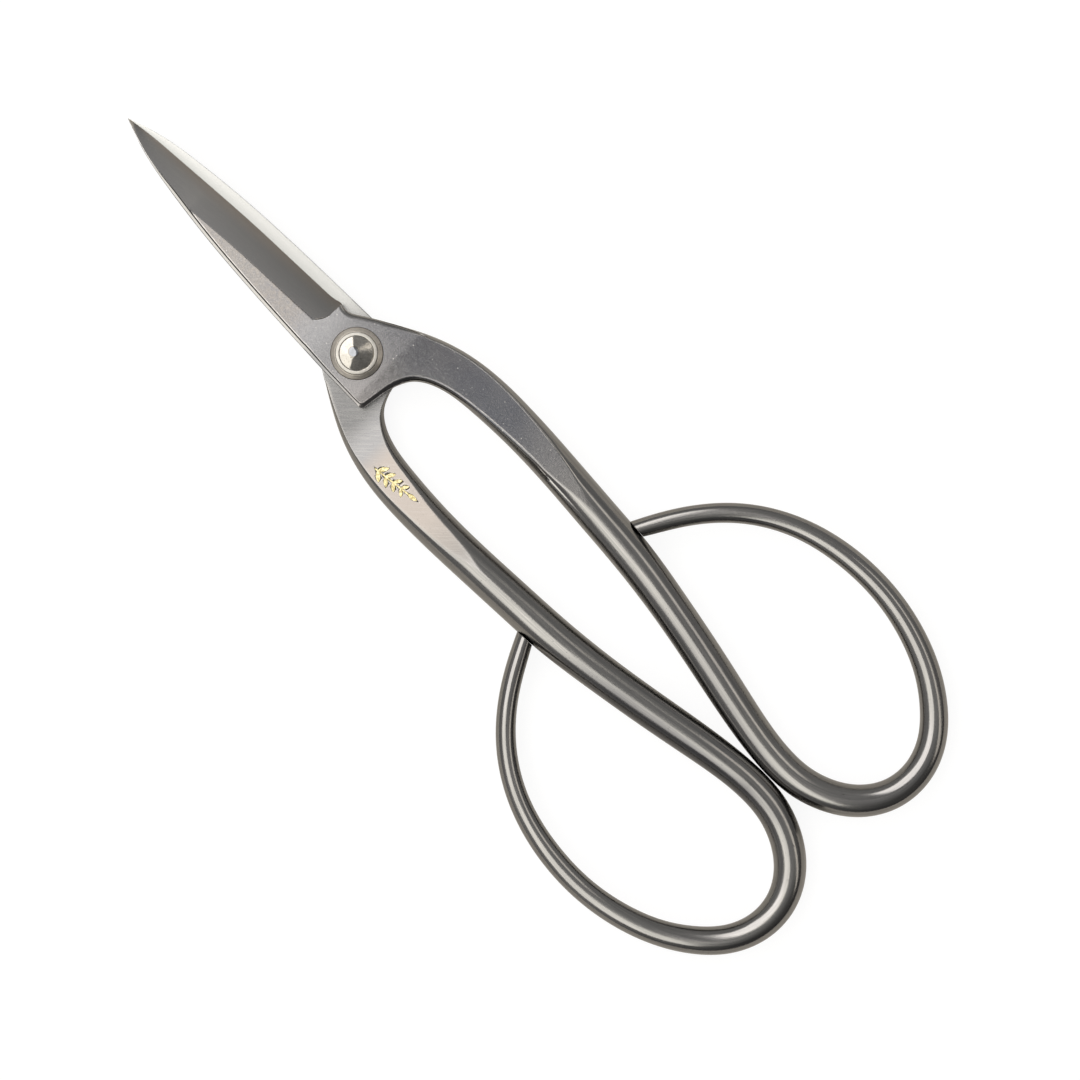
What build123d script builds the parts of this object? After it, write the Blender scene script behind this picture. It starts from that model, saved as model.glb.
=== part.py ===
from build123d import *
import os

# Long-handled garden scissors: two identical steel halves, one turned over on the other,
# held by one peened rivet with a conical washer under each of its heads.
# Millimetres. Z is the pivot axis, +X runs along the closed blades to their tips, and
# the origin is on the pivot axis at the flat of the lower rivet head, which lies on a table.

# --- driving dimensions -------------------------------------------------------------
blade_reach = 63.5           # pivot axis to blade tip
plate_thickness = 3.9        # each half where they lap at the pivot
face_gap = 0.06              # between the two lapping faces
tip_thickness = 1.4          # outer face above the lapping face at the tip
taper_start = 8.0            # the blade starts to thin here
edge_land = 0.12             # thickness left at the cutting edge
rim_bevel_width = 0.6        # small bevel round the outer face, across the face
rim_bevel_depth = 0.45       # and down the side
shoulder_rounding = 0.8
heel_corner_radius = 0.7

ramp_start = 11.5            # the lapping face starts to fall away, back of the pivot
ramp_end = 46.5              # and has reached the underside of the round shank
ramp_blend = 30.0            # radius where the lapping face turns into the ramp

rivet_radius = 2.5
rivet_clearance = 0.05       # radial, in the holes of the halves and washers
washer_radius = 5.1
washer_rim_height = 0.35
washer_height = 0.9
washer_seat_radius = 4.1     # flat under the rivet head, inside the cone
head_radius = 4.0
head_side_height = 0.4
head_rim_radius = 3.3        # inner edge of the bright chamfered rim
head_rim_height = 0.85
head_height = 1.5
head_flat_radius = 1.1       # flat that the peening leaves in the middle
head_groove = 0.12           # the dome starts this far below the rim

mark_centre = (-22.3, 12.35)   # gold sprig on the lapping side of the lower arm
mark_turn = 8.0                # degrees, so that it follows the arm
mark_recess = 0.3
mark_fill = 0.35
stem_length = 8.4
stem_width = 0.3
leaf_length = 2.3
leaf_width = 0.85
leaf_angle = 48.0
leaf_pairs = 4

# --- outline of a half, seen from its outer side, handle towards -Y ----------------------
tip = (blade_reach, 0.0)
spine_points = [(57.0, 2.15), (48.0, 3.85), (37.0, 5.15), (23.0, 6.1), (9.5, 6.65), (2.0, 6.9)]
heel_corner = (-8.3, 6.9)
heel_end = (-9.2, 0.6)
slot_points = [(-9.6, -0.7), (-10.4, -3.4), (-12.2, -6.0)]
shoulder_points = [(-9.0, -12.8), (-4.5, -10.9), (0.5, -8.25), (3.2, -6.6)]
choil_points = [(6.6, -4.45), (8.5, -4.4), (9.3, -4.6), (10.2, -4.3), (11.0, -4.05)]
edge_points = [(24.0, -3.4), (40.0, -2.4), (52.0, -1.35)]

# ground bevel: distance from the pivot, then its upper limit and the cutting edge in Y
bevel_stations = [
    (7.0, 1.35, -4.2),
    (14.0, 1.75, -3.85),
    (24.0, 2.25, -3.4),
    (34.0, 2.95, -2.85),
    (43.0, 4.0, -2.15),
    (50.0, 4.3, -1.55),
    (57.0, 3.2, -0.8),
    (66.0, 1.4, 0.25),
]
bevel_hollow = 0.22
bevel_heel = [(8.75, -6.0), (9.1, -0.5), (9.6, 1.75), (20.0, 2.6), (46.0, 6.0), (70.0, 6.0), (70.0, -6.0)]

# flat forged arm between plate and shank: slot-side point, outer point, half height of
# the oval bar and the height of its middle above the lapping face
arm_stations = [
    ((-9.6, -0.7), (0.5, -8.3), 9.0, 1.95),
    ((-10.8, -3.25), (-4.0, -10.85), 5.0, 1.95),
    ((-13.1, -5.4), (-9.25, -13.4), 3.6, 2.0),
    ((-17.7, -7.2), (-15.6, -15.4), 3.5, 1.9),
    ((-24.0, -8.05), (-23.6, -16.5), 3.7, 1.5),
    ((-31.0, -8.45), (-31.0, -16.65), 3.85, 1.1),
    ((-40.0, -8.45), (-39.8, -16.35), 4.0, 0.55),
    ((-47.3, -8.1), (-47.0, -15.95), 3.95, 0.15),
]

# round shank and finger bow: back from the pivot, sideways from the middle, diameter
rod_stations = [
    (55.0, 11.55, 7.85),
    (65.0, 10.85, 7.85),
    (76.0, 9.4, 7.5),
    (88.0, 7.3, 7.35),
    (99.5, 5.05, 7.1),
    (107.5, 3.75, 6.75),
    (113.5, 3.35, 6.6),
    (118.3, 3.75, 6.5),
    (123.9, 5.6, 6.4),
    (129.1, 9.3, 6.3),
    (132.6, 15.2, 6.05),
    (132.9, 21.7, 5.8),
    (130.4, 27.6, 5.6),
    (126.0, 32.3, 5.4),
    (120.5, 36.0, 5.1),
    (113.4, 38.9, 4.9),
    (105.0, 40.6, 4.7),
    (94.0, 40.4, 4.5),
    (83.0, 37.5, 4.1),
    (73.3, 31.4, 3.9),
    (66.1, 22.9, 3.8),
]
bow_end = (61.7, 15.3)       # the free end of the bow stops just beside the shank
bow_end_radii = (2.0, 1.9)   # its face, cut parallel to the shank
shank_slope = -0.062

rest_height = plate_thickness + face_gap / 2 + washer_height + head_height


def outer_face_height(along):
    """Height of the outer face over the lapping face, thinning from the plate to the tip."""
    fall = (plate_thickness - tip_thickness) / (blade_reach - taper_start)
    return plate_thickness - fall * max(along - taper_start, 0.0)


def rim_lines():
    """Outline of a half in plan, in order: spine, heel, slot side, shoulder, choil and edge."""
    spine = Spline(tip, *spine_points)
    heel = FilletPolyline(spine @ 1, heel_corner, heel_end, radius=heel_corner_radius)
    slot = Spline(heel @ 1, *slot_points, tangents=[heel % 1, (-0.6, -1)])
    shoulder = Spline(*shoulder_points, choil_points[0])
    choil = Spline(*choil_points)
    cutting_edge = Spline(choil @ 1, *edge_points, tip)
    return spine, heel, slot, shoulder, choil, cutting_edge


def plate_outline():
    """Closed face of the blade, the pivot plate and the root of the arm."""
    spine, heel, slot, shoulder, choil, cutting_edge = rim_lines()
    root = Line(slot @ 1, shoulder @ 0)
    return make_face([spine, *heel.edges(), slot, root, shoulder, choil, cutting_edge])


def rim_section(edge, share, width, depth):
    """Triangle that takes the sharp rim off the outer face, square to an outline edge."""
    point = edge @ share
    outward = (edge % share).cross(Vector(0, 0, 1))
    top = outer_face_height(point.X)
    plane = Plane(origin=Vector(point.X, point.Y), x_dir=outward, z_dir=-(edge % share))
    inner = (-2 * width, top + depth)
    outer = (width, top - 2 * depth)
    return plane * make_face(Polyline(inner, outer, (width, top + 2), close=True))


def rim_bevel_cutter(edges, width, depth):
    """Tool of a narrow bevel along the outer rim of the given outline edges."""
    sections = []
    for edge in edges:
        pieces = 1 if edge.geom_type == GeomType.LINE else 10
        shares = [(step + 0.02) / (pieces + 0.04) for step in range(pieces + 1)]
        sections += [rim_section(edge, share, width, depth) for share in shares]
    return loft(sections, ruled=True)


def bevel_section(along, upper, edge):
    """Region above the hollow-ground bevel at one distance from the pivot."""
    top = outer_face_height(along)
    slope = (top - edge_land) / (upper - edge)
    above = (upper + 1.0, top + slope)
    below = (edge - 1.0, edge_land - slope)
    middle = ((upper + edge) / 2, (top + edge_land) / 2 - bevel_hollow)
    plane = Plane(origin=(along, 0, 0), x_dir=(0, 1, 0), z_dir=(1, 0, 0))
    with BuildSketch(plane) as sketch:
        with BuildLine():
            ThreePointArc(above, middle, below)
            Polyline(below, (below[0], 12.0), (above[0], 12.0), above)
        make_face()
    return sketch.sketch


def bevel_cutter():
    """Tool of the grind: everything above the bevel, ending in a rounded heel."""
    ground = loft([bevel_section(*station) for station in bevel_stations])
    with BuildSketch(Plane.XY.offset(-5)) as sketch:
        with BuildLine():
            Polyline(*bevel_heel, close=True)
        make_face()
        corner = sketch.vertices().sort_by_distance(Vector(*bevel_heel[2], -5))[0]
        fillet(corner, radius=1.0)
    return ground & extrude(sketch.sketch, amount=25)


def blade_and_plate():
    """Flat forged front part of a half, thinned to the tip and bevelled on its outer side."""
    body = extrude(plate_outline(), amount=plate_thickness)
    above = Polyline(
        (taper_start, plate_thickness),
        (blade_reach + 5, outer_face_height(blade_reach + 5)),
        (blade_reach + 5, 12),
        (taper_start, 12),
        close=True,
    )
    body = body - extrude(Plane.XZ * make_face(above), amount=20, both=True)
    spine, heel, slot, shoulder, choil, cutting_edge = rim_lines()
    body = body - rim_bevel_cutter([spine, *heel.edges(), slot], rim_bevel_width, rim_bevel_depth)
    return body - rim_bevel_cutter([shoulder], shoulder_rounding, shoulder_rounding)


def arm_section(slot_side, outer, half_height, middle):
    """Oval section of the forged bar between its slot side and its outer side."""
    near = Vector(*slot_side, middle)
    far = Vector(*outer, middle)
    across = near - far
    plane = Plane(origin=(near + far) / 2, x_dir=across, z_dir=Vector(0, 0, 1).cross(across))
    return plane * Ellipse(across.length / 2, half_height)


def rod_sections():
    """Round sections of the shank and the bow, and the slanting free end of the bow."""
    last_arm = arm_stations[-1]
    start = (Vector(*last_arm[0]) + Vector(*last_arm[1])) / 2
    centres = [Vector(-back, -aside) for back, aside, diameter in rod_stations]
    end = Vector(-bow_end[0], -bow_end[1])
    line = Spline(start, *centres, end)
    up = Vector(0, 0, 1)
    sections = []
    for centre, station in zip(centres, rod_stations):
        tangent = line.tangent_at(line.param_at_point(centre))
        plane = Plane(origin=centre, x_dir=tangent.cross(up), z_dir=tangent)
        sections.append(plane * Circle(station[2] / 2))
    along_shank = Vector(1, shank_slope)
    end_plane = Plane(origin=end, x_dir=along_shank, z_dir=up.cross(along_shank))
    sections.append(end_plane * Ellipse(*bow_end_radii))
    return sections


def lapping_side_cutter():
    """Everything under the lapping face and under the ramp that leads to the shank."""
    fall = plate_thickness / (ramp_end - ramp_start)
    far = ramp_end + 15
    with BuildSketch(Plane.XZ) as sketch:
        with BuildLine():
            top = FilletPolyline(
                (blade_reach + 5, 0),
                (-ramp_start, 0),
                (-far, -fall * (far - ramp_start)),
                radius=ramp_blend,
            )
            Polyline(top @ 1, (-far, -20), (blade_reach + 5, -20), top @ 0)
        make_face()
    return extrude(sketch.sketch, amount=30, both=True)


def handle():
    """Arm, shank and finger bow: one forged bar with its outer side ground level with the plate."""
    bar = loft([arm_section(*station) for station in arm_stations] + rod_sections())
    above_outer_face = Pos(-30, 0, plate_thickness + 10) * Box(120, 60, 20)
    return bar - above_outer_face


def scissor_half():
    """One complete half with its lapping face at Z = 0 and its handle towards -Y."""
    forging = blade_and_plate() + handle()
    forging = forging - lapping_side_cutter()
    forging = forging - bevel_cutter()
    return forging - Cylinder(rivet_radius + rivet_clearance, 4 * plate_thickness)


def leaf(length, width):
    """Lens-shaped leaf from the stem outwards along +X."""
    upper = ThreePointArc((0, 0), (length / 2, width / 2), (length, 0))
    lower = ThreePointArc((length, 0), (length / 2, -width / 2), (0, 0))
    return make_face([upper, lower])


def sprig():
    """Flat outline of the sprig: a stem with pairs of leaves and one leaf at its end."""
    shape = Rectangle(stem_length, stem_width)
    pitch = stem_length / (leaf_pairs + 0.5)
    for number in range(leaf_pairs):
        foot = -stem_length / 2 + (number + 0.35) * pitch
        size = 1.0 - 0.08 * number
        for turn in (leaf_angle, -leaf_angle):
            place = Pos(foot, 0) * Rot(0, 0, turn)
            shape = shape + place * leaf(leaf_length * size, leaf_width * size)
    return shape + Pos(stem_length / 2 - 0.4, 0) * leaf(leaf_length, leaf_width)


def mark_plane():
    """Plane of the ramp of the lower half, at the middle of the sprig, facing up."""
    fall = plate_thickness / (ramp_end - ramp_start)
    height = -fall * (mark_centre[0] + ramp_start)
    plane = Plane(
        origin=(*mark_centre, height - face_gap / 2),
        x_dir=(-1, 0, fall),
        z_dir=(fall, 0, 1),
    )
    return plane.rotated((0, 0, mark_turn))


def washer():
    """Conical washer standing on Z = 0, with a flat seat for the rivet head."""
    hole = rivet_radius + rivet_clearance
    profile = Polyline(
        (hole, 0),
        (washer_radius, 0),
        (washer_radius, washer_rim_height),
        (washer_seat_radius, washer_height),
        (hole, washer_height),
        close=True,
    )
    return revolve(Plane.XZ * make_face(profile), axis=Axis.Z)


def rivet_head_profile():
    """Half section of a peened head above its seat at Z = 0: rim, groove, dome and flat."""
    rim = Polyline(
        (0, 0),
        (head_radius, 0),
        (head_radius, head_side_height),
        (head_rim_radius, head_rim_height),
        (head_rim_radius, head_rim_height - head_groove),
    )
    middle = ((head_rim_radius + head_flat_radius) / 2, (head_rim_height + head_height) / 2 + 0.08)
    dome = ThreePointArc(rim @ 1, middle, (head_flat_radius, head_height))
    top = Polyline(dome @ 1, (0, head_height), (0, 0))
    return make_face([*rim.edges(), dome, *top.edges()])


def rivet():
    """Pivot rivet, peened over at both ends, its middle at Z = 0."""
    head = revolve(Plane.XZ * rivet_head_profile(), axis=Axis.Z)
    seat = plate_thickness + face_gap / 2 + washer_height
    shaft = Cylinder(rivet_radius, 2 * seat)
    return shaft + Pos(0, 0, seat) * head + Rot(180, 0, 0) * Pos(0, 0, seat) * head


def assembly():
    """Every piece in its place, standing on the flat of the lower rivet head."""
    half = scissor_half()
    lift = Pos(0, 0, rest_height)
    washer_seat = plate_thickness + face_gap / 2
    turned = Rot(180, 0, 0)
    floor = mark_plane().offset(-mark_recess)
    recess = extrude(floor * sprig(), amount=2 * mark_recess)
    return {
        "front_half": lift * Pos(0, 0, face_gap / 2) * half,
        "rear_half": lift * (turned * Pos(0, 0, face_gap / 2) * half - recess),
        "pivot_rivet": lift * rivet(),
        "front_washer": lift * Pos(0, 0, washer_seat) * washer(),
        "rear_washer": lift * turned * Pos(0, 0, washer_seat) * washer(),
        "gold_sprig_inlay": lift * extrude(floor * sprig(), amount=mark_fill),
    }


os.makedirs("parts", exist_ok=True)
for name, piece in assembly().items():
    export_step(piece, f"parts/{name}.step")
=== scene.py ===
import math

import bpy
import numpy as np
from mathutils import Matrix, Vector


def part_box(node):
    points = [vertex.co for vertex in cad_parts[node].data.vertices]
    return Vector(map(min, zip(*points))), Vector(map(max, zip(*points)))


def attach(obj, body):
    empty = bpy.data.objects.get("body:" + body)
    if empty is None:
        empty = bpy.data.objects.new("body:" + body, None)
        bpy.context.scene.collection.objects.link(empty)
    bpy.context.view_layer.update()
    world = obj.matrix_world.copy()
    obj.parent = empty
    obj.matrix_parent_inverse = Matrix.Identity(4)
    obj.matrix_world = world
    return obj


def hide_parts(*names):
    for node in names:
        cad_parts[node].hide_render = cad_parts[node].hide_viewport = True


# Looks for the long-handled flower scissors. Lengths are millimetres in the row frame
# (+X to the blade tips, +Z along the pivot axis) until a mesh is written, in metres.

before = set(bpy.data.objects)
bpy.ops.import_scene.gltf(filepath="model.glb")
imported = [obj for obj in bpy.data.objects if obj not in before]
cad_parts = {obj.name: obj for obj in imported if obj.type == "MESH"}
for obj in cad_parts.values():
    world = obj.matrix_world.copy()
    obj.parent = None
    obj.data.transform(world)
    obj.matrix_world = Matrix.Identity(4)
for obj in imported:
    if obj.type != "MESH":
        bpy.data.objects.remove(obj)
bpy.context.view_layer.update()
MM = 0.001

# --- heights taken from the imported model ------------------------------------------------
blade_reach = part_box("front_half")[1].x / MM
washer_low, washer_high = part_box("front_washer")
rivet_low, rivet_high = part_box("pivot_rivet")
middle_height = (rivet_low.z + rivet_high.z) / 2 / MM      # the plane where the halves lap
outer_face = washer_low.z / MM - middle_height             # outer face above that plane
face_gap = 0.06                                            # between the two lapping faces
plate_thickness = outer_face - face_gap / 2

# --- shape of one half, lapping face at Z = 0, handle towards -Y --------------------------
tip_thickness = 1.4
tip_thinning = (50.0, 0.6)   # from this X on the blade loses this much more, to a fine point
taper_start = 4.0
taper_full = 12.0
arm_dip = 0.25               # the flat of the arm is very slightly hollow along its length
arm_dip_start = -6.0
arm_dip_length = 50.0
edge_land = 0.12             # height left at the cutting edge
bevel_hollow = 0.22
ramp_start = 11.5            # behind the pivot the lapping face falls away between these
ramp_end = 46.5
ramp_blend = 2.2
rim_bevel = (0.68, 0.2)      # width and drop along the spine
heel_bevel = (0.82, 0.45)    # the same round the heel of the plate
shoulder_bevel = (0.85, 0.75)
soft_edge = 0.06             # size of an arris
blade_sharp = 0.8            # how much finer the arrises are on the blade
shade_line_half = 0.18             # half width of the painted shade line along the rim bevel
heel_round = 0.85
mark_clearance = 0.5         # the stamped mark is cut this far past its gold
grinding_end = 8.92          # the hollow grinding ends in a curved heel
grinding_low = -2.0
grinding_curve = 0.135
grinding_step = 0.09
bore_radius = 2.56
bore_reach = 9.0
blade_start = 8.4
square_start = 10.8          # from here on the stations lie straight across the blade
near_tip = 62.4
arc_share = math.cos(math.radians(38))      # how far up the oval its flats may cut it
rear_shift = 600             # the streaks of the rear half start this far along

# --- how finely one ring round the bar is divided ------------------------------------------
shoulder_steps = (0, 0.03, 0.1, 0.22, 0.4, 0.65, 1)
lapping_shares = np.concatenate([[0, 0.01, 0.03], np.linspace(0, 1, 17)[1:-1], [0.97, 0.99, 1]])
bevel_columns = 26
flat_columns = 9
wall_columns = 9
shoulder_column = len(shoulder_steps) - 1   # where the shoulder meets the flat
crest_column = -5                           # beside the painted shade line, counted back from the rim; this column carries a painted highlight
shade_line_column = -4

# --- washers and rivet heads -----------------------------------------------------------------
washer_base = outer_face
washer_thick = (washer_high.z - washer_low.z) / MM
washer_edge = [(2.62, 0.0), (5.04, 0.0), (5.1, 0.05), (5.1, 0.26), (5.09, 0.31), (5.05, 0.36)]
washer_cone = [(5.05 - 0.82 * k / 6, 0.36 + 0.51 * k / 6) for k in range(1, 7)]
washer_recess = [(4.19, 0.89), (4.14, 0.86), (4.11, 0.7), (2.7, 0.7), (2.62, 0.66)]
washer_shade_band = (4.93, 5.04)  # painted contact shadow: the outer edge of a washer is painted darker from the first radius on
pin_radius = 2.46
head_radius = 4.06
head_rim = 3.44
head_edge = [
    (head_radius, 0.0), (head_radius, 0.6), (head_radius - 0.02, 0.67), (head_radius - 0.06, 0.7),
    (3.74, 0.73), (head_rim + 0.08, 0.755), (head_rim + 0.02, 0.76),
    (head_rim - 0.03, 0.75), (head_rim - 0.06, 0.72),
]
dome_radius = head_rim - 0.1
dome_rings = 26
head_height = 1.48
head_flat = 0.15
head_peak = 0.17            # the facets would meet this far above the small flat on top
flat_tilt = 0.035
peened_spot = (0.55, 0.2)   # middle of the small dull spot left on top by the hammer
round_points = 96           # points round a washer or a rivet head
facet_centre = (0.36, 0.37)
# turn in degrees and slope of each facet
facets = [(-8, 0.24), (41, 0.24), (93, 0.25), (156, 0.3), (206, 0.31), (241, 0.265), (276, 0.28)]

# --- outlines in plan -----------------------------------------------------------------------
spine_start = (2.0, 6.9)
spine_points = [
    spine_start, (9.5, 6.65), (23.0, 6.1), (37.0, 5.15), (48.0, 3.85), (57.0, 2.15), (63.5, 0.0),
]
lower_rim_points = [
    (-9.0, -12.8), (-4.5, -10.9), (0.5, -8.25), (3.2, -6.6), (5.1, -5.35), (6.6, -4.5),
    (8.4, -4.45), (9.3, -4.62), (10.2, -4.4), (11.2, -4.18), (14.0, -3.99), (18.0, -3.79), (30.0, -3.21),
    (42.0, -2.32), (52.0, -1.46), (59.0, -0.74), (63.5, 0.0),
]
bevel_top_points = [
    (9.6, 1.3), (14.0, 1.6), (24.0, 2.15), (34.0, 2.93), (43.0, 3.88), (50.0, 4.5), (66.0, 4.5),
]
heel_corner = (-8.3, 6.9)
heel_end = (-9.2, 0.6)
slot_nose = (-9.6, -0.7)
plate_high = 40.0            # the plate's edge is nearly upright, as on a very tall oval
plate_mid = 1.95

# slot side, outer side, half height of the oval bar, height of its middle
arm_stations = [
    (slot_nose, (0.5, -8.25), 9.0, plate_mid),
    ((-10.8, -3.25), (-4.0, -10.85), 5.0, 1.95),
    ((-13.1, -5.4), (-9.25, -13.4), 3.6, 2.0),
    ((-17.7, -7.2), (-15.6, -15.4), 3.5, 1.9),
    ((-24.0, -8.05), (-23.6, -16.5), 3.7, 1.5),
    ((-31.0, -8.45), (-31.0, -16.65), 3.85, 1.1),
    ((-40.0, -8.45), (-39.8, -16.35), 4.0, 0.55),
    ((-47.3, -8.1), (-47.0, -15.95), 3.95, 0.15),
]
# back from the pivot, sideways from the middle, diameter
rod_stations = [
    (55.0, 11.55, 7.85), (65.0, 10.85, 7.85), (76.0, 9.4, 7.5), (88.0, 7.3, 7.35), (99.5, 5.05, 7.1),
    (107.5, 3.75, 6.75), (113.5, 3.35, 6.6), (118.3, 3.75, 6.5), (123.9, 5.6, 6.4), (129.1, 9.3, 6.3),
    (132.59, 15.2, 6.05), (132.88, 21.7, 5.8), (130.4, 27.6, 5.6), (126.0, 32.3, 5.4), (120.5, 36.0, 5.1),
    (113.4, 38.9, 4.9), (105.0, 40.594, 4.7), (94.0, 40.4, 4.5), (83.0, 37.5, 4.1), (73.3, 31.4, 3.9),
    (66.1, 22.9, 3.8),
]
bow_end = (61.7, 15.1)
bow_end_diameter = 3.85
shank_slope = -0.062
ring_spacing = 0.8


# --- the forged halves -------------------------------------------------------------------------
# Each station crosses the bar from its left side (spine, heel and slot) to its right side
# (cutting edge and outside of the arm). high and mid are the half height and the middle of
# its oval. fade goes from 1 on the plate to 0 on the arm, rim from 1 on the arm to 0 on the rod.
def cubic_spline(knots, values, places):
    """Natural cubic spline through the values at the knots, read at the given places."""
    knots = np.asarray(knots, float)
    values = np.asarray(values, float).reshape(len(knots), -1)
    gaps = np.diff(knots)
    system = np.eye(len(knots))
    right = np.zeros_like(values)
    for i in range(1, len(knots) - 1):
        system[i, i - 1:i + 2] = gaps[i - 1], 2 * (gaps[i - 1] + gaps[i]), gaps[i]
        right[i] = 6 * ((values[i + 1] - values[i]) / gaps[i] - (values[i] - values[i - 1]) / gaps[i - 1])
    bend = np.linalg.solve(system, right)
    places = np.atleast_1d(np.asarray(places, float))
    left = np.clip(np.searchsorted(knots, places) - 1, 0, len(knots) - 2)
    gap = gaps[left][:, None]
    after = (places - knots[left])[:, None]
    before = gap - after
    curve = (bend[left] * before**3 + bend[left + 1] * after**3) / (6 * gap)
    curve += (values[left] / gap - bend[left] * gap / 6) * before
    curve += (values[left + 1] / gap - bend[left + 1] * gap / 6) * after
    return curve


def smooth_step(value, start, end):
    """0 before start, 1 after end, and a smooth rise between them."""
    share = np.clip((np.asarray(value, float) - start) / (end - start), 0, 1)
    return share * share * (3 - 2 * share)


def outer_height(x):
    """Outer face above the lapping face: level on the plate, then thinning to the tip."""
    slope = (plate_thickness - tip_thickness) / (blade_reach - 8.0)
    span = taper_full - taper_start
    eased = slope * np.clip(x - taper_start, 0, span) ** 2 / (2 * span)
    share = np.clip((arm_dip_start - x) / arm_dip_length, 0, 1)
    dip = 6.75 * arm_dip * share * (1 - share) ** 2
    point = tip_thinning[1] * (np.maximum(x - tip_thinning[0], 0) / (blade_reach - tip_thinning[0])) ** 2
    return plate_thickness - eased - slope * np.maximum(x - taper_full, 0) - dip - point


def lapping_height(x):
    """Lapping face, level to the heel and then falling away to the underside of the shank."""
    fall = plate_thickness / (ramp_end - ramp_start)
    past = -np.asarray(x, float) - ramp_start
    eased = np.clip(past + ramp_blend, 0, 2 * ramp_blend) ** 2 / (4 * ramp_blend)
    return -fall * (eased + np.maximum(past - ramp_blend, 0))


def handle_stations():
    """Dense stations from the free end of the bow along the rod and the arm to the plate."""
    slot = np.array([near for near, far, high, mid in arm_stations])
    outer = np.array([far for near, far, high, mid in arm_stations])
    arm_centre = (slot + outer) / 2
    rod_centre = np.array([(-back, -aside) for back, aside, diameter in rod_stations])
    end = np.array([[-bow_end[0], -bow_end[1]]])
    centre = np.vstack([arm_centre, rod_centre, end])
    run = np.concatenate([[0], np.cumsum(np.linalg.norm(np.diff(centre, axis=0), axis=1))])
    dense = np.linspace(0, run[-1], int(run[-1] / ring_spacing) + 1)
    path = cubic_spline(run, centre, dense)
    step = 0.01
    ahead = cubic_spline(run, centre, np.minimum(run + step, run[-1]))
    behind = cubic_spline(run, centre, np.maximum(run - step, 0))
    tangent = ahead - behind
    across = np.stack([tangent[:, 1], -tangent[:, 0]], axis=1)
    across[:len(slot)] = slot - outer
    across[-1] = (1.0, shank_slope)
    turn = np.unwrap(np.arctan2(across[:, 1], across[:, 0]))
    arm_width = np.linalg.norm(slot - outer, axis=1) / 2
    rod_width = np.array([diameter / 2 for back, aside, diameter in rod_stations])
    half_width = np.concatenate([arm_width, rod_width, [bow_end_diameter / 2]])
    arm_high = [high for near, far, high, mid in arm_stations]
    arm_middle = [mid for near, far, high, mid in arm_stations]
    half_height = np.concatenate([arm_high, rod_width, [bow_end_diameter / 2]])
    middle = np.concatenate([arm_middle, np.zeros(len(rod_width) + 1)])
    shape = np.stack([turn, half_width, half_height, middle], axis=1)
    shape = cubic_spline(run, shape, dense)
    direction = np.stack([np.cos(shape[:, 0]), np.sin(shape[:, 0])], axis=1)
    return {
        "left": path + direction * shape[:, 1:2],
        "right": path - direction * shape[:, 1:2],
        "high": shape[:, 2],
        "mid": shape[:, 3],
        "fade": 1 - smooth_step(dense, 0, run[2]),
        "rim": 1 - smooth_step(dense, run[5], run[9]),
    }


def plate_stations():
    """Stations from the root of the arm round the heel corner and along the blade to its tip."""
    spine_x, spine_y = np.array(spine_points).T
    rim_x, rim_y = np.array(lower_rim_points).T
    corner = np.array(heel_corner)
    to_end = np.array(heel_end) - corner
    heel_turn = corner + heel_round * to_end / np.linalg.norm(to_end)
    back_turn = corner + (heel_round, 0.0)
    arc = [
        (1 - t) ** 2 * heel_turn + 2 * t * (1 - t) * corner + t * t * back_turn
        for t in np.linspace(0, 1, 7)
    ]
    legs = [
        (slot_nose, heel_end, 4),
        (heel_end, heel_turn, 8),
        *[(start, stop, 1) for start, stop in zip(arc[:-1], arc[1:])],
        (back_turn, spine_start, 12),
    ]
    left = []
    for start, stop, count in legs:
        left += [np.array(start) + (np.array(stop) - start) * k / count for k in range(count)]
    # X on the lower rim across from where each leg starts
    lower_x = np.interp(np.arange(len(left)), [0, 4, 12, 18, len(left)], [0.5, 1.8, 4.2, 4.7, 7.0])
    spine_run = np.concatenate([
        np.linspace(spine_start[0], blade_start, 8, endpoint=False),
        np.arange(blade_start, square_start, 0.05),
        np.linspace(square_start, near_tip, 90, endpoint=False),
        np.linspace(near_tip, blade_reach - 0.12, 6),
    ])
    left += [(x, y) for x, y in zip(spine_run, cubic_spline(spine_x, spine_y, spine_run)[:, 0])]
    lower_run = np.interp(spine_run, [spine_start[0], blade_start, square_start], [7.0, 8.3, square_start])
    lower_run = np.where(spine_run > square_start, spine_run, lower_run)
    lower_x = np.concatenate([lower_x, lower_run])
    right = np.stack([lower_x, cubic_spline(rim_x, rim_y, lower_x)[:, 0]], axis=1)
    count = len(left)
    return {
        "left": np.array(left),
        "right": right,
        "high": np.full(count, plate_high),
        "mid": np.full(count, plate_mid),
        "fade": np.ones(count),
        "rim": np.ones(count),
    }


def bar_side(station, z):
    """Distance in from the widest line of the oval bar at height z, one value per station."""
    rise = np.clip((z - station["mid"]) / station["high"], -1, 1)
    return station["width"] / 2 * (1 - np.sqrt(1 - rise**2))


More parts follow.
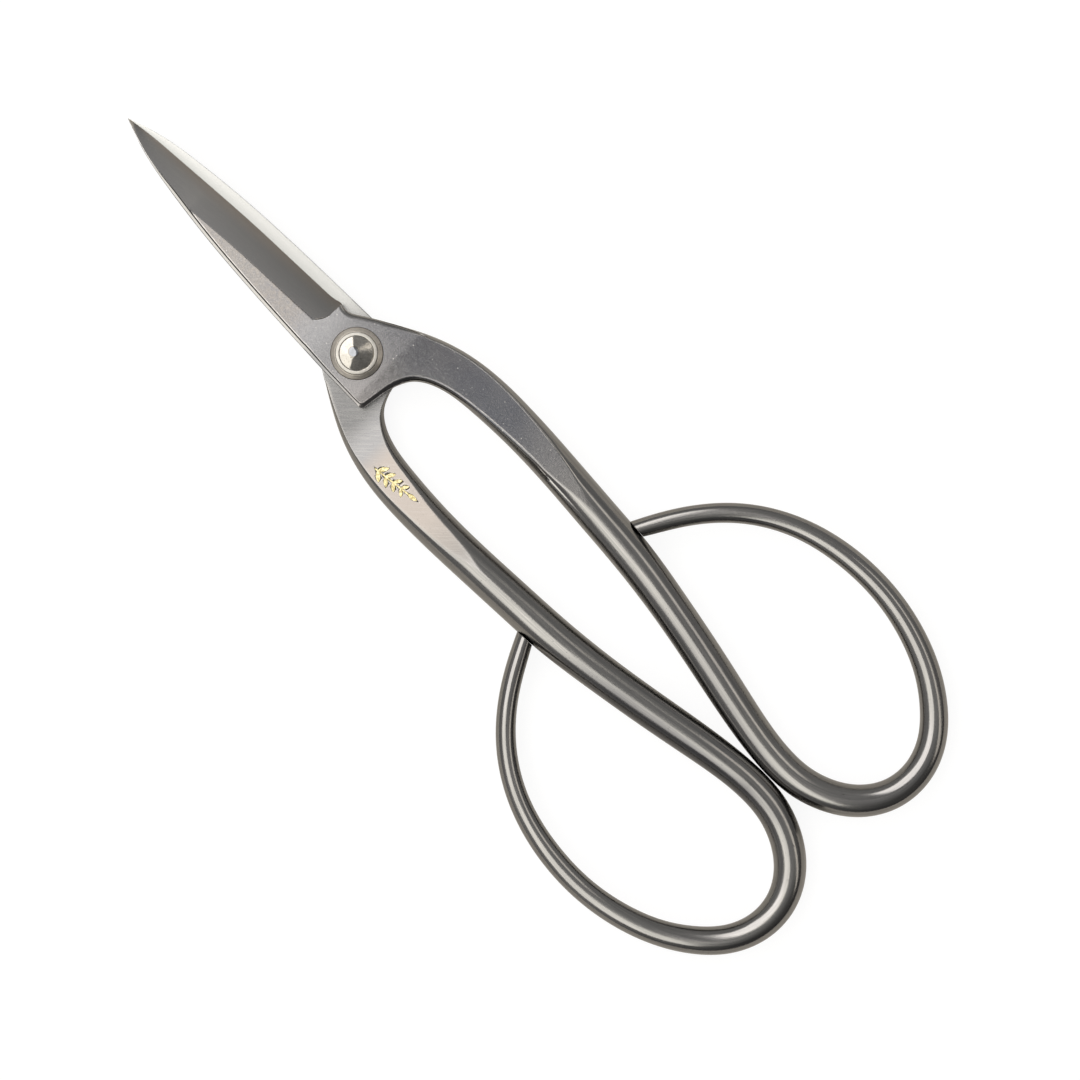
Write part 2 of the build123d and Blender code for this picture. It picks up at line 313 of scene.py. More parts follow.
def all_stations():
    """Stations of the whole half from the free end of the bow to the tip, with their limits."""
    handle = handle_stations()
    plate = plate_stations()
    station = {key: np.concatenate([handle[key][::-1], plate[key][1:]]) for key in handle}
    left, right = station["left"], station["right"]
    station["width"] = np.linalg.norm(left - right, axis=1)
    station["on_blade"] = (left[:, 0] > blade_start).astype(float)
    station["thin"] = np.clip(station["width"] / 3.0, 0, 1)
    fade, thin, mid, high = station["fade"], station["thin"], station["mid"], station["high"]
    crest = mid + high * arc_share
    foot = mid - high * arc_share
    level = np.minimum(outer_height((left[:, 0] + right[:, 0]) / 2), crest)
    ground = smooth_step(right[:, 0], 8.86, 8.98) * station["on_blade"]
    at_heel = station["rim"] * smooth_step(-left[:, 0], 7.3, 8.5) * smooth_step(left[:, 0], -28, -12)
    station["heel"] = at_heel
    station["to_tip"] = smooth_step(left[:, 0], 45, 57)
    station["rim_wide"] = (rim_bevel[0] + (heel_bevel[0] - rim_bevel[0]) * at_heel) * (0.7 + 0.3 * fade)
    station["drop_left"] = (rim_bevel[1] + (heel_bevel[1] - rim_bevel[1]) * at_heel) * station["rim"] * thin
    for key in ("rim_wide", "drop_left"):
        station[key] = station[key] * (1 - 0.8 * station["to_tip"])
    station["drop_right"] = shoulder_bevel[1] * fade * (1 - 0.6 * smooth_step(right[:, 0], 5.5, 8.6))
    station["top_left"] = level - station["drop_left"]
    station["top_right"] = (level - station["drop_right"]) * (1 - ground) + edge_land * ground
    station["low_left"] = np.maximum(lapping_height(left[:, 0]), foot)
    station["low_right"] = np.maximum(lapping_height(right[:, 0]), foot)
    return station


def spread(start, stop, count):
    """count positions between start and stop, both left out, one row for each station."""
    share = (np.arange(count) + 1) / (count + 1)
    return start[:, None] + (stop - start)[:, None] * share[None, :]


def bevel_limit(station, first, last):
    """Where the hollow-ground bevel ends, measured across from the cutting edge."""
    left, right = station["left"], station["right"]
    bevel_x, bevel_y = np.array(bevel_top_points).T
    limit_y = cubic_spline(bevel_x, bevel_y, np.clip(left[:, 0], bevel_x[0], bevel_x[-1]))[:, 0]
    share = (limit_y - right[:, 1]) / np.maximum(left[:, 1] - right[:, 1], 0.01)
    to_blade = smooth_step(left[:, 0], -8, blade_start)
    share = 0.55 + (share - 0.55) * to_blade
    limit = share * station["width"]
    return np.clip(limit, first + 0.3 * station["thin"], last)


def flat_edge(station):
    """Distance in from either side at which the oval bar rises to its outer flat."""
    middle = (station["left"][:, 0] + station["right"][:, 0]) / 2
    rise = np.clip((outer_height(middle) - station["mid"]) / station["high"], 0, 1)
    return station["width"] / 2 * (1 - np.sqrt(1 - rise**2))


def outer_side(station):
    """Points across the outer side: rounded shoulder, hollow bevel, flat and rim bevel."""
    width, thin, fade = station["width"], station["thin"], station["fade"]
    left, right = station["left"], station["right"]
    soft = soft_edge * thin * (1 - blade_sharp * station["on_blade"])
    start = bar_side(station, station["top_right"]) + soft
    stop = width - bar_side(station, station["top_left"]) - soft
    crease = flat_edge(station)
    inner_right = start + np.maximum(shoulder_bevel[0] * fade, 0.2) * thin
    inner_right = np.clip(crease, inner_right, np.maximum(inner_right, 0.42 * width))
    least_rim = 0.2 * (1 - 0.6 * station["to_tip"])
    inner_left = stop - np.maximum(station["rim_wide"] * station["rim"], least_rim) * thin
    inner_left = np.clip(width - crease, np.minimum(inner_left, 0.62 * width), inner_left)
    limit = bevel_limit(station, inner_right, inner_left - 7 * soft)
    even = np.linspace(0, 1, len(shoulder_steps))
    steps = np.array(shoulder_steps)[None, :] * fade[:, None] + even[None, :] * (1 - fade[:, None])
    shoulder = start[:, None] + (inner_right - start)[:, None] * steps
    beside = shade_line_half * thin * (1 - 0.7 * station["to_tip"])
    across = np.concatenate([
        shoulder,
        spread(inner_right, limit - soft, bevel_columns),
        (limit - soft)[:, None], (limit + soft)[:, None],
        spread(limit + soft, inner_left - 2 * beside, flat_columns),
        (inner_left - 2 * beside)[:, None], (inner_left - beside)[:, None],
        inner_left[:, None], (inner_left + beside)[:, None],
        (stop - 0.2 * (stop - inner_left))[:, None], stop[:, None],
    ], axis=1)
    place = right[:, None, :] + (left - right)[:, None, :] * (across / width[:, None])[:, :, None]
    x, y = place[..., 0], place[..., 1]
    half_width = width[:, None] / 2
    from_middle = np.clip(across / half_width - 1, -1, 1)
    oval = station["mid"][:, None] + station["high"][:, None] * np.sqrt(1 - from_middle**2)
    face = soft_minimum(outer_height(x), oval, 0.12)
    from_left = (stop[:, None] - across) / np.maximum(stop - inner_left, 0.01)[:, None]
    from_right = (across - start[:, None]) / np.maximum(inner_right - start, 0.01)[:, None]
    turned = 1 - np.sqrt(1 - (1 - np.clip(from_right, 0, 1)) ** 2)
    face = face - station["drop_left"][:, None] * (1 - np.clip(from_left, 0, 1))
    plain = face - station["drop_right"][:, None] * turned
    rise = np.clip(across / np.maximum(limit[:, None], 0.01), 0, 1)
    ground = edge_land + (outer_height(x) - edge_land) * rise
    ground = ground - 4 * bevel_hollow * thin[:, None] * rise * (1 - rise)
    into_grinding = x - grinding_end - grinding_curve * np.clip(y - grinding_low, 0, 9) ** 2
    in_bevel = smooth_step(into_grinding, -grinding_step, grinding_step) * station["on_blade"][:, None]
    reach = limit + (inner_left - limit) * smooth_step(left[:, 0], 50, 53)
    reach = reach + (width - inner_left) * smooth_step(left[:, 0], 58, 60)
    in_bevel = in_bevel * (across < reach[:, None])
    flat = smooth_step(oval - outer_height(x), -0.1, 0.25)
    on_bevel = (1 - smooth_step(x, 4, 10)) * station["rim"][:, None]
    strip = np.where(across < inner_left[:, None], 1, on_bevel)
    flat = flat * (across >= inner_right[:, None]) * strip * (1 - in_bevel)
    heights = plain * (1 - in_bevel) + np.minimum(ground, face) * in_bevel
    return x, y, heights, flat, in_bevel, rise


def side_wall(station, rim, inward, low, top):
    """Points up one side of the bar from the lapping side to the outer side."""
    high, mid = station["high"], station["mid"]
    soft = np.minimum(soft_edge * (1 - blade_sharp * station["on_blade"]), (top - low) / 4)
    first = np.arcsin(np.clip((low + soft - mid) / high, -1, 1))
    last = np.arcsin(np.clip((top - soft - mid) / high, -1, 1))
    angle = first[:, None] + (last - first)[:, None] * np.linspace(0, 1, wall_columns)
    z = mid[:, None] + high[:, None] * np.sin(angle)
    depth = station["width"][:, None] / 2 * (1 - np.abs(np.cos(angle)))
    place = rim[:, None, :] + inward[:, None, :] * depth[:, :, None]
    return place[..., 0], place[..., 1], z


def lapping_side(station):
    """Points across the lapping side, from the slot side to the outer side."""
    width = station["width"]
    soft = soft_edge * station["thin"] * (1 - blade_sharp * station["on_blade"])
    start = bar_side(station, station["low_left"]) + soft
    stop = width - bar_side(station, station["low_right"]) - soft
    across = start[:, None] + (stop - start)[:, None] * lapping_shares
    left, right = station["left"], station["right"]
    place = left[:, None, :] + (right - left)[:, None, :] * (across / width[:, None])[:, :, None]
    from_middle = np.clip(across / (width[:, None] / 2) - 1, -1, 1)
    oval = station["mid"][:, None] - station["high"][:, None] * np.sqrt(1 - from_middle**2)
    face = lapping_height(place[..., 0])
    lapped = smooth_step(face - oval, -0.1, 0.25)
    return place[..., 0], place[..., 1], -soft_minimum(-face, -oval, 0.12), lapped


def soft_minimum(first, second, blend):
    """The lower of two heights, rounded where they cross."""
    share = np.clip(0.5 + (second - first) / (2 * blend), 0, 1)
    return second + (first - second) * share - blend * share * (1 - share)


def half_rings():
    """Rings of one half, bow end to tip: positions, finish with painted highlights, bar coordinates and
    painted shade lines.
    """
    station = all_stations()
    inward = (station["left"] - station["right"]) / station["width"][:, None]
    top_x, top_y, top_z, flat, ground, rise = outer_side(station)
    right = side_wall(station, station["right"], inward, station["low_right"], station["top_right"])
    left = side_wall(station, station["left"], -inward, station["low_left"], station["top_left"])
    low_x, low_y, low_z, lapped = lapping_side(station)
    ring_x = np.concatenate([top_x, left[0][:, ::-1], low_x, right[0]], axis=1)
    ring_y = np.concatenate([top_y, left[1][:, ::-1], low_y, right[1]], axis=1)
    ring_z = np.concatenate([top_z, left[2][:, ::-1], low_z, right[2]], axis=1)
    points = np.stack([ring_x, ring_y, ring_z], axis=2)
    # the four finish weights are satin flat, lapping face, hollow grinding and edge wear; the edge wear is
    # partly real wear and partly a painted highlight on creases and arrises
    finish = np.zeros(ring_x.shape + (4,))
    columns = top_x.shape[1]
    finish[:, :columns, 0] = flat
    finish[:, :columns, 2] = ground
    first = columns + wall_columns
    last = first + len(lapping_shares) - 1
    finish[:, first:last + 1, 1] = lapped
    finish[:, first - 1, 1] = lapped[:, 0] * station["on_blade"]
    finish[:, last + 1, 1] = lapped[:, -1] * station["on_blade"]
    # edge wear on every arris, partly real wear and partly a painted highlight
    corner = [0, columns - 1, columns, first - 1, first, last, last + 1, last + wall_columns]
    finish[:, corner, 3] = (0.2 + 0.3 * station["fade"])[:, None]
    left_x, right_x = station["left"][:, 0], station["right"][:, 0]
    # painted outline on the rear plate's edge: a painted highlight beside a painted shade line
    outline_highlight_and_shade = station["fade"] * smooth_step(-right_x, -2, 2)
    finish[:, last - 1, 3] = outline_highlight_and_shade
    finish[:, last - 2, 3] = 0.6 * outline_highlight_and_shade
    # painted highlight: the crest column beside the shade line is painted light through the edge-wear weight
    crest = station["rim"] * smooth_step(left_x, -44, -34) * (1 - 0.6 * station["heel"])
    finish[:, columns + crest_column, 3] = crest * (1 - smooth_step(left_x, 42, 50))
    # painted highlight: a light line painted along the outer crease where the arm's flat meets the oval
    has_flat = smooth_step(0.4 * station["width"] - flat_edge(station), 0, 0.6)
    finish[:, shoulder_column, 3] = 0.9 * (1 - station["fade"]) * has_flat
    steps = np.linalg.norm(np.diff(points, axis=1), axis=2)
    around = np.concatenate([np.zeros((len(points), 1)), np.cumsum(steps, axis=1)], axis=1)
    middle = points[:, shoulder_column + 1]
    run = np.concatenate([[0], np.cumsum(np.linalg.norm(np.diff(middle, axis=0), axis=1))])
    share = np.ones_like(around)
    share[:, :columns] = rise
    share[:, first:last + 1] = lapping_shares
    bar = np.stack([np.repeat(run[:, None], points.shape[1], axis=1), around, share], axis=2)
    # painted shade: near-black lines painted along the spine's rim bevel, the heel end and the rear plate's
    # outline, where shade falls in those creases
    line = np.zeros_like(around)
    along_spine = smooth_step(left_x, -9, -7) * (1 - station["to_tip"])
    line[:, columns + shade_line_column] = station["thin"] * along_spine
    line[:, columns] = 0.5 * station["fade"] * smooth_step(-left_x, -9, -7)
    line[:, last] = 0.8 * outline_highlight_and_shade
    line[:, last + 2] = 0.6 * outline_highlight_and_shade
    return points, finish, bar, line


def ring_faces(rings, around):
    """Faces of one closed skin over the rings, capped at both ends."""
    faces = []
    for ring in range(rings - 1):
        for k in range(around):
            a, b = ring * around + k, ring * around + (k + 1) % around
            faces.append((a, a + around, b + around, b))
    faces.append(tuple(range(around)))
    faces.append(tuple(reversed(range((rings - 1) * around, rings * around))))
    return faces


def new_object(name, points, faces):
    """A mesh object from points in millimetres."""
    mesh = bpy.data.meshes.new(name)
    mesh.from_pydata((np.asarray(points) * MM).tolist(), [], faces)
    mesh.shade_smooth()
    piece = bpy.data.objects.new(name, mesh)
    bpy.context.scene.collection.objects.link(piece)
    return piece


def bore(piece):
    """Cuts the pivot hole through a half."""
    turns = 64
    angles = [math.tau * k / turns for k in range(turns)]
    circle = [(math.cos(angle) * bore_radius, math.sin(angle) * bore_radius) for angle in angles]
    points = [(x, y, middle_height + z) for z in (-bore_reach, bore_reach) for x, y in circle]
    faces = [(k, (k + 1) % turns, turns + (k + 1) % turns, turns + k) for k in range(turns)]
    faces += [tuple(reversed(range(turns))), tuple(range(turns, 2 * turns))]
    cut_away(piece, new_object("bore_cutter", points, faces))


def cut_away(piece, cutter):
    """Takes the cutter's shape out of a piece and removes the cutter."""
    cut = piece.modifiers.new("cut", "BOOLEAN")
    cut.operation = "DIFFERENCE"
    cut.solver = "EXACT"
    cut.object = cutter
    bpy.context.view_layer.update()
    evaluated = piece.evaluated_get(bpy.context.evaluated_depsgraph_get())
    remainder = bpy.data.meshes.new_from_object(evaluated)
    piece.modifiers.clear()
    piece.data = remainder
    bpy.data.objects.remove(cutter)


def carve_mark(piece, inlay):
    """Sinks the stamped mark into the rear half, above the gold that half fills it."""
    mesh = inlay.data.copy()
    places = np.empty(len(mesh.vertices) * 3)
    mesh.vertices.foreach_get("co", places)
    places = places.reshape(-1, 3)
    plan = np.column_stack([places[:, :2], np.ones(len(places))])
    slope = np.linalg.lstsq(plan, places[:, 2], rcond=None)[0]
    above = places[:, 2] - places[:, :2] @ slope[:2] - slope[2]
    places[:, 2] += np.where(above > 0, mark_clearance * MM, -0.2 * mark_clearance * MM)
    mesh.vertices.foreach_set("co", places.ravel())
    cutter = bpy.data.objects.new("mark_cutter", mesh)
    bpy.context.scene.collection.objects.link(cutter)
    cut_away(piece, cutter)


def half(name, side):
    """One forged half. side is 1 for the front half, -1 for the rear half, turned over about X."""
    rings, finish, bar, line = half_rings()
    faces = ring_faces(*rings.shape[:2])
    points = rings.reshape(-1, 3) * (1, side, side)
    points[:, 2] += middle_height + side * face_gap / 2
    piece = new_object(name, points, faces)
    colour = piece.data.attributes.new("finish", "FLOAT_COLOR", "POINT")
    colour.data.foreach_set("color", finish.ravel())
    along = piece.data.attributes.new("bar", "FLOAT_VECTOR", "POINT")
    along.data.foreach_set("vector", (bar + (0 if side > 0 else rear_shift, 0, 0)).ravel())
    # the line attribute holds the painted shade lines
    dark = piece.data.attributes.new("line", "FLOAT", "POINT")
    dark.data.foreach_set("value", line.ravel())
    bore(piece)
    if side < 0:
        carve_mark(piece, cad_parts["gold_sprig_inlay"])
    piece.data.shade_smooth()
    piece.data.set_sharp_from_angle(angle=math.radians(62))
    weight = piece.modifiers.new("normals", "WEIGHTED_NORMAL")
    weight.weight = 80
    weight.thresh = 0.0
    weight.keep_sharp = True
    return piece


# --- rivet and washers -------------------------------------------------------------------
def lathe(profile):
    """A turned closed ring from (radius, height) points."""
    turns = round_points
    points = []
    for radius, height in profile:
        for k in range(turns):
            angle = math.tau * k / turns
            points.append((radius * math.cos(angle), radius * math.sin(angle), height))
    faces = []
    rings = len(profile)
    for ring in range(rings):
        here, above = ring * turns, (ring + 1) % rings * turns
        for k in range(turns):
            after = (k + 1) % turns
            faces.append((here + k, here + after, above + after, above + k))
    return points, faces


def washer(name, side):
    """Cone washer between a half and a rivet head."""
    points, faces = lathe(washer_edge + washer_cone + washer_recess)
    points = [(x, side * y, middle_height + side * (washer_base + z)) for x, y, z in points]
    piece = new_object(name, points, faces)
    piece.modifiers.new("normals", "WEIGHTED_NORMAL").thresh = 0.0
    return piece


def facet_height(x, y):
    """Hammered dome of a rivet head above its seat: flat facets round a small flat."""
    x, y = x - facet_centre[0], y - facet_centre[1]
    height = head_height + head_peak
    for turn, slope in facets:
        out = x * math.cos(math.radians(turn)) + y * math.sin(math.radians(turn))
        height = soft_minimum(height, head_height + head_peak - slope * (out - head_flat), 0.13)
    height -= 0.012 * (x * x + y * y)
    return soft_minimum(height, head_height - 0.02 - flat_tilt * (x + y), 0.03)


def rivet_head(side, seat):
    """Points of one head, from its seat to its middle."""
    rings = [(radius, height, False) for radius, height in head_edge]
    rings += [(dome_radius - dome_radius * k / dome_rings, 0, True) for k in range(dome_rings)]
    points = []
    for radius, height, domed in rings:
        for k in range(round_points):
            angle = math.tau * k / round_points
            x, y = radius * math.cos(angle), radius * math.sin(angle)
            z = facet_height(x, y) if domed else height
            points.append((x, side * y, middle_height + side * (seat + z)))
    points.append((0, 0, middle_height + side * (seat + facet_height(0, 0))))
    return points, len(rings)


def rivet(name):
    """Pivot rivet with both hammered heads on one pin."""
    seat = washer_base + washer_thick
    upper, rings = rivet_head(1, seat)
    lower, rings = rivet_head(-1, seat)
    turns = round_points
    pin = []
    for z in (seat, -seat):
        for k in range(turns):
            angle = math.tau * k / turns
            pin.append((pin_radius * math.cos(angle), pin_radius * math.sin(angle), middle_height + z))
    points = upper + pin + lower
    faces = []
    pin_top = len(upper)
    pin_foot = pin_top + turns
    first_lower = pin_foot + turns
    for k in range(turns):
        after = (k + 1) % turns
        for ring in range(rings - 1):
            a, b = ring * turns, (ring + 1) * turns
            faces.append((a + k, a + after, b + after, b + k))
            c, d = first_lower + a, first_lower + b
            faces.append((d + k, d + after, c + after, c + k))
        faces.append(((rings - 1) * turns + k, (rings - 1) * turns + after, rings * turns))
        top = first_lower + (rings - 1) * turns
        faces.append((top + after, top + k, first_lower + rings * turns))
        faces.append((pin_top + k, pin_top + after, after, k))
        faces.append((pin_foot + k, pin_foot + after, pin_top + after, pin_top + k))
        faces.append((first_lower + k, first_lower + after, pin_foot + after, pin_foot + k))
    piece = new_object(name, points, faces)
    piece.data.set_sharp_from_angle(angle=math.radians(70))
    return piece


# --- materials -----------------------------------------------------------------------------
def link(tree, source, target):
    """Joins one node's output to another node's input."""
    tree.links.new(source, target)


def node(tree, kind, inputs=(), **settings):
    """A new node with its settings and inputs; an input is a value or another node's socket."""
    made = tree.nodes.new(kind)
    for key, value in settings.items():
        setattr(made, key, value)
    for key, value in dict(inputs).items():
        if isinstance(value, bpy.types.NodeSocket):
            tree.links.new(value, made.inputs[key])
        else:
            made.inputs[key].default_value = value
    return made


def noise(tree, vector, scale, detail, rough):
    """Noise from 0 to 1 at a scale per axis, in cycles per millimetre."""
    placed = node(tree, "ShaderNodeVectorMath", {0: vector, 1: scale}, operation="MULTIPLY").outputs[0]
    inputs = {"Vector": placed, "Scale": 1.0, "Detail": detail, "Roughness": rough}
    return node(tree, "ShaderNodeTexNoise", inputs).outputs["Fac"]


def spread_value(tree, value, low, high, to_low=0.0, to_high=1.0):
    """Maps value from low..high to to_low..to_high, kept inside."""
    inputs = {"Value": value, "From Min": low, "From Max": high, "To Min": to_low, "To Max": to_high}
    return node(tree, "ShaderNodeMapRange", inputs).outputs["Result"]


def mix_colour(tree, share, first, second):
    """Colour from first to second as share goes from 0 to 1."""
    made = node(tree, "ShaderNodeMix", {"Factor": share}, data_type="RGBA")
    for index, value in ((6, first), (7, second)):
        if isinstance(value, bpy.types.NodeSocket):
            tree.links.new(value, made.inputs[index])
        else:
            made.inputs[index].default_value = (*value, 1)
    return made.outputs[2]


def mix_value(tree, share, first, second):
    """Value from first to second as share goes from 0 to 1."""
    made = node(tree, "ShaderNodeMix", {"Factor": share}, data_type="FLOAT")
    for index, value in ((2, first), (3, second)):
        if isinstance(value, bpy.types.NodeSocket):
            tree.links.new(value, made.inputs[index])
        else:
            made.inputs[index].default_value = value
    return made.outputs[0]


def multiply(tree, first, second):
    """The product of two values."""
    return node(tree, "ShaderNodeMath", {0: first, 1: second}, operation="MULTIPLY").outputs[0]


def add(tree, first, second):
    """The sum of two values."""
    return node(tree, "ShaderNodeMath", {0: first, 1: second}, operation="ADD").outputs[0]


def new_material(name):
    """A metal with its node tree, its shader and the place on the piece in millimetres."""
    material = bpy.data.materials.new(name)
    material.use_nodes = True
    tree = material.node_tree
    shader = tree.nodes["Principled BSDF"]
    shader.inputs["Metallic"].default_value = 1.0
    place = node(tree, "ShaderNodeTexCoord")
    inputs = {0: place.outputs["Object"], 1: (1000, 1000, 1000)}
    position = node(tree, "ShaderNodeVectorMath", inputs, operation="MULTIPLY").outputs[0]
    return material, tree, shader, position


def finish_material(tree, shader, colour, roughness, height, depth):
    """Joins colour, roughness and a bump of the given depth in millimetres to the shader."""
    link(tree, colour, shader.inputs["Base Color"])
    link(tree, roughness, shader.inputs["Roughness"])
    bump = node(tree, "ShaderNodeBump", {"Strength": 1.0, "Distance": depth * MM, "Height": height})
    link(tree, bump.outputs["Normal"], shader.inputs["Normal"])


def shank_dark_stretch(tree, place):
    """A darker stretch along the +Y side of both shanks, stronger on the rear one, from 0 to 1."""
    facing = node(tree, "ShaderNodeMath", {0: place["Y"]}, operation="SIGN").outputs[0]
    centre = spread_value(tree, place["X"], -112, -60, 3.2, 12.2)
    inputs = {0: place["Y"], 1: multiply(tree, facing, centre)}
    aside = node(tree, "ShaderNodeMath", inputs, operation="SUBTRACT").outputs[0]
    side = spread_value(tree, aside, -0.2, 1.3)
    side = multiply(tree, side, spread_value(tree, aside, 5.5, 4.5))
    stretch = spread_value(tree, place["X"], -62, -82)
    stretch = multiply(tree, stretch, spread_value(tree, place["X"], -124, -112))
    return multiply(tree, multiply(tree, side, stretch), spread_value(tree, facing, -1, 1, 0.35, 0.75))


def forged_steel():
    """Polished bar, satin outer flats, ground lapping faces and hollow-ground bevels."""
    material, tree, shader, position = new_material("forged_steel")
    finish = node(tree, "ShaderNodeAttribute", attribute_name="finish")
    weight = node(tree, "ShaderNodeSeparateColor", {"Color": finish.outputs["Color"]})
    flat, lapped, hollow = weight.outputs[0], weight.outputs[1], weight.outputs[2]
    bar = node(tree, "ShaderNodeAttribute", attribute_name="bar").outputs["Vector"]
    streak = noise(tree, bar, (0.03, 1.1, 1), 5, 0.6)
    hair = noise(tree, bar, (0.12, 9.0, 1), 4, 0.6)
    grain = noise(tree, position, (3.4, 3.4, 3.4), 4, 0.75)
    mottle = noise(tree, position, (1.3, 1.3, 1.3), 5, 0.65)
    pit = spread_value(tree, noise(tree, position, (2.2, 2.2, 2.2), 3, 0.6), 0.66, 0.74)
    blotch = noise(tree, position, (0.13, 0.13, 0.13), 3, 0.5)
    wear = noise(tree, position, (0.8, 0.8, 0.8), 4, 0.6)
    inputs = {"Vector": position, "Angle": math.radians(-45)}
    turned = node(tree, "ShaderNodeVectorRotate", inputs, rotation_type="Z_AXIS")
    scratch = noise(tree, turned.outputs[0], (0.22, 5.0, 1), 3, 0.6)
    lean = node(tree, "ShaderNodeVectorMath", {0: position, 1: (0.35, 0.94, 0)}, operation="DOT_PRODUCT")
    lean = lean.outputs["Value"]
    speck = node(tree, "ShaderNodeTexVoronoi", {"Vector": position, "Scale": 1.1, "Randomness": 1.0})
    dot = spread_value(tree, speck.outputs["Distance"], 0.16, 0.05)
    rare = node(tree, "ShaderNodeSeparateColor", {"Color": speck.outputs["Color"]})
    dot = multiply(tree, dot, spread_value(tree, rare.outputs[0], 0.72, 0.8))

    place = node(tree, "ShaderNodeSeparateXYZ", {0: position}).outputs
    along = place["X"]
    across = node(tree, "ShaderNodeSeparateXYZ", {0: bar}).outputs["Z"]
    bar_colour = mix_colour(
        tree, spread_value(tree, streak, 0.35, 0.68), (0.185, 0.183, 0.181), (0.262, 0.258, 0.25))
    bar_colour = mix_colour(tree, spread_value(tree, hair, 0.52, 0.8), bar_colour, (0.33, 0.322, 0.31))
    bar_colour = mix_colour(tree, spread_value(tree, along, 5, 12), bar_colour, (0.28, 0.276, 0.27))
    bar_colour = mix_colour(tree, multiply(tree, pit, 0.8), bar_colour, (0.075, 0.07, 0.072))
    bar_colour = mix_colour(tree, multiply(tree, dot, 0.5), bar_colour, (0.06, 0.058, 0.062))
    # the shanks are darker along this stretch of their +Y side
    bar_colour = mix_colour(tree, shank_dark_stretch(tree, place), bar_colour, (0.075, 0.075, 0.08))
    sand = mix_colour(tree, spread_value(tree, along, 7, 15), (0.164, 0.165, 0.172), (0.204, 0.19, 0.174))
    plate_colour = mix_colour(
        tree, spread_value(tree, blotch, 0.38, 0.64), (0.128, 0.129, 0.135), (0.142, 0.141, 0.141))
    plate_colour = mix_colour(tree, spread_value(tree, mottle, 0.3, 0.72), plate_colour, sand)
    # painted sheen: the plate's flat is painted lighter towards the spine, most near the heel, standing in
    # for reflected light
    spine_sheen = multiply(tree, spread_value(tree, lean, -7, 3), spread_value(tree, along, 14, 8))
    spine_sheen_colour = mix_colour(tree, spread_value(tree, along, 3, -7), (0.2, 0.202, 0.207), (0.275, 0.263, 0.26))
    plate_colour = mix_colour(tree, multiply(tree, spine_sheen, 0.82), plate_colour, spine_sheen_colour)
    arm_colour = mix_colour(
        tree, spread_value(tree, blotch, 0.38, 0.64), (0.09, 0.094, 0.106), (0.106, 0.108, 0.116))
    arm_colour = mix_colour(tree, spread_value(tree, along, -31, -48), arm_colour, (0.185, 0.182, 0.18))
    flat_colour = mix_colour(tree, spread_value(tree, lean, -6, -16), plate_colour, arm_colour)
    flat_colour = mix_colour(
        tree, spread_value(tree, grain, 0.5, 0.3, 0, 0.4), flat_colour, (0.085, 0.087, 0.093))
    flat_colour = mix_colour(
        tree, spread_value(tree, grain, 0.52, 0.74, 0, 0.6), flat_colour, (0.25, 0.245, 0.24))
    flat_colour = mix_colour(tree, multiply(tree, dot, 0.6), flat_colour, (0.5, 0.485, 0.46))
    ground_colour = mix_colour(
        tree, spread_value(tree, across, 0.4, 0.08), (0.282, 0.29, 0.282), (0.39, 0.395, 0.385))
    ground_colour = mix_colour(tree, spread_value(tree, along, 9, -2), ground_colour, (0.172, 0.173, 0.175))
    ground_colour = mix_colour(
        tree, spread_value(tree, along, -15, -18.5), ground_colour, (0.222, 0.202, 0.184))
    ground_colour = mix_colour(
        tree, spread_value(tree, along, -32, -42), ground_colour, (0.165, 0.158, 0.149))
    hand_ground = spread_value(tree, along, 9, -2, 0.03, 1)
    hand_ground = multiply(tree, hand_ground, spread_value(tree, along, -18, -13, 0.35, 1))
    scored = multiply(tree, hand_ground, spread_value(tree, scratch, 0.45, 0.75, 0, 0.24))
    ground_colour = mix_colour(tree, scored, ground_colour, (0.5, 0.49, 0.47))
    ground_colour = mix_colour(tree, multiply(tree, dot, 0.35), ground_colour, (0.1, 0.098, 0.095))
    hollow_colour = mix_colour(
        tree, spread_value(tree, across, 0.04, 0.4), (0.3, 0.268, 0.235), (0.33, 0.325, 0.315))
    hollow_colour = mix_colour(tree, spread_value(tree, across, 0.4, 1.0), hollow_colour, (0.47, 0.465, 0.46))
    hollow_colour = mix_colour(
        tree, spread_value(tree, hair, 0.45, 0.8, 0, 0.1), hollow_colour, (0.6, 0.585, 0.56))
    colour = mix_colour(tree, flat, bar_colour, flat_colour)
    colour = mix_colour(tree, lapped, colour, ground_colour)
    colour = mix_colour(tree, hollow, colour, hollow_colour)
    # the edge-wear weight lightens the steel: partly real wear, partly a painted highlight along creases and
    # arrises
    edge = multiply(tree, finish.outputs["Alpha"], spread_value(tree, wear, 0.3, 0.62, 0.35, 0.75))
    colour = mix_colour(tree, multiply(tree, edge, 0.75), colour, (0.62, 0.6, 0.57))
    # painted shade: the line attribute darkens the steel to near black along creases and edges
    line = node(tree, "ShaderNodeAttribute", attribute_name="line")
    colour = mix_colour(
        tree, spread_value(tree, line.outputs["Fac"], 0.06, 0.42), colour, (0.012, 0.012, 0.012))

    roughness = spread_value(tree, streak, 0.3, 0.7, 0.11, 0.22)
    roughness = mix_value(tree, flat, roughness, spread_value(tree, mottle, 0.3, 0.7, 0.19, 0.26))
    ground_rough = mix_value(tree, hand_ground, 0.25, spread_value(tree, scratch, 0.3, 0.7, 0.22, 0.3))
    roughness = mix_value(tree, lapped, roughness, ground_rough)
    roughness = mix_value(tree, hollow, roughness, spread_value(tree, hair, 0.3, 0.7, 0.22, 0.26))
    rough_bar = add(tree, multiply(tree, hair, 0.5), multiply(tree, grain, 0.3))
    height = mix_value(tree, flat, rough_bar, grain)
    height = mix_value(tree, lapped, height, multiply(tree, scratch, hand_ground))
    height = mix_value(tree, hollow, height, multiply(tree, hair, 0.08))
    finish_material(tree, shader, colour, roughness, height, 0.008)
    return material


